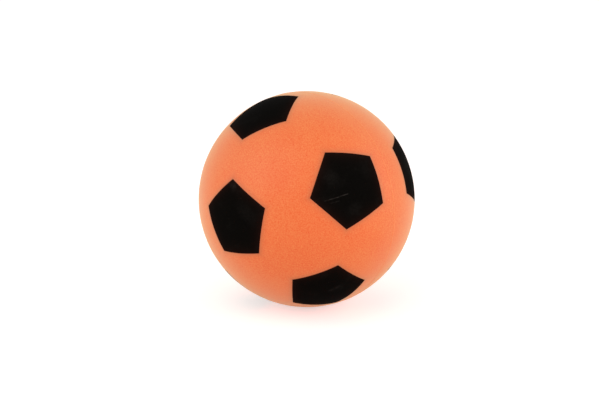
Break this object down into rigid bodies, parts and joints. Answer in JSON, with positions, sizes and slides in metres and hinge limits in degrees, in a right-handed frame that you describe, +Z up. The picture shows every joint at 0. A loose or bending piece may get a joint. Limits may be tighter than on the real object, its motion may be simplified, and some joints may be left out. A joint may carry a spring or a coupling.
{
  "type": "foam ball",
  "caption": "Soft moulded foam ball for dodgeball and indoor football, orange with black printed pentagons and a fine raised seam.",
  "frame": {"origin": "centre of the ball", "axes": "+Z up; the seam lies in the XZ plane, so +Y is the axis of the two moulded halves and the front half faces -Y"},
  "size_m": [0.2002, 0.2, 0.2002],
  "materials": {
    "foam": "open soft foam",
    "skin": "matte moulded foam skin with a fine grain",
    "seam": "matte moulded foam skin",
    "print": "matte black print"
  },
  "bodies": {
    "root": {"foam_core": "foam", "front_skin": "skin", "back_skin": "skin", "seam_bead": "seam", "front_centre_pentagon": "print", "front_upper_pentagon": "print", "front_right_pentagon": "print", "front_lower_right_pentagon": "print", "front_lower_left_pentagon": "print", "front_left_pentagon": "print", "back_centre_pentagon": "print", "back_upper_pentagon": "print", "back_right_pentagon": "print", "back_lower_right_pentagon": "print", "back_lower_left_pentagon": "print", "back_left_pentagon": "print"}
  },
  "joints": []
}
